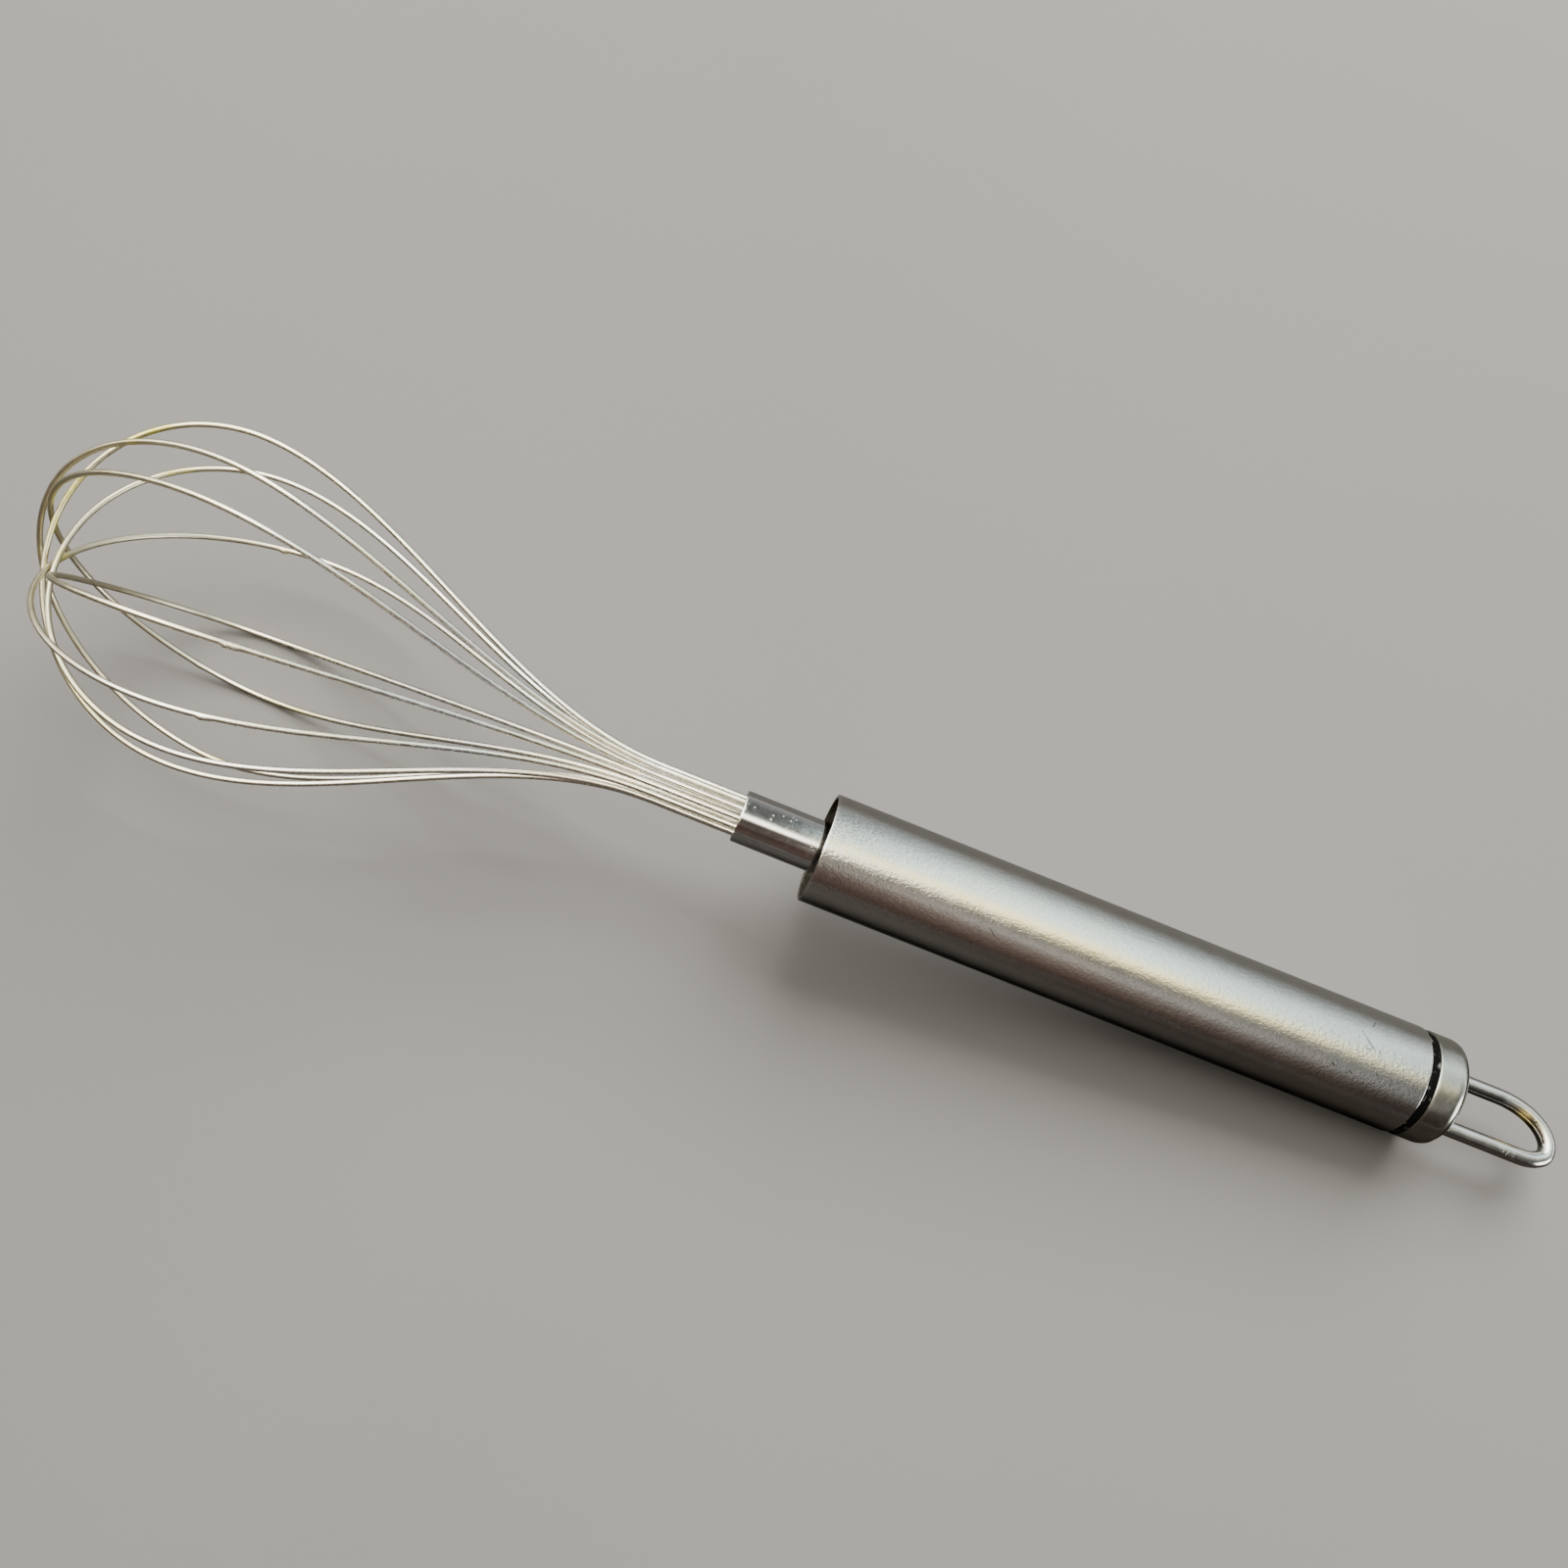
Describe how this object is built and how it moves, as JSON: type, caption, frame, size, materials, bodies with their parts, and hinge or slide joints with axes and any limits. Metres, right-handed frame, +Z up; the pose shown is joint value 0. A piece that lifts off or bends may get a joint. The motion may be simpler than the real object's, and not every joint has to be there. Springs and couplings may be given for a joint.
{
  "type": "balloon whisk",
  "caption": "Hand whisk with a balloon of crossed steel wire loops, a ferrule, a tubular steel handle and a wire hanging loop.",
  "frame": {"origin": "on the surface the whisk lies on, under the middle of its bounding box", "axes": "+X along the whisk from the balloon towards the hanging loop, +Z up; the whisk's own axis falls by about 5 degrees towards the hanging loop"},
  "size_m": [0.3212, 0.0628, 0.063],
  "materials": {
    "bright_wire": "bright drawn wire, smooth satin, with faint warm stains near the tip",
    "ferrule_steel": "turned and lightly polished, with small nicks",
    "satin_steel": "satin brushed tube with fine scratches",
    "cap_steel": "satin pressed steel, brighter at the edge of the end face",
    "loop_steel": "bent round wire, satin",
    "plain_steel": "plain turned steel",
    "black_plastic": "moulded, glossy, with light rub marks",
    "inner_plastic": "moulded, matte"
  },
  "bodies": {
    "root": {"wire_loop_1": "bright_wire", "wire_loop_2": "bright_wire", "wire_loop_3": "bright_wire", "wire_loop_4": "bright_wire", "wire_loop_5": "bright_wire", "wire_loop_6": "bright_wire", "ferrule": "ferrule_steel", "centre_pin": "plain_steel", "handle_bush": "inner_plastic", "handle_tube": "satin_steel", "end_plug": "black_plastic", "end_cap": "cap_steel", "hanging_loop": "loop_steel"}
  },
  "joints": []
}
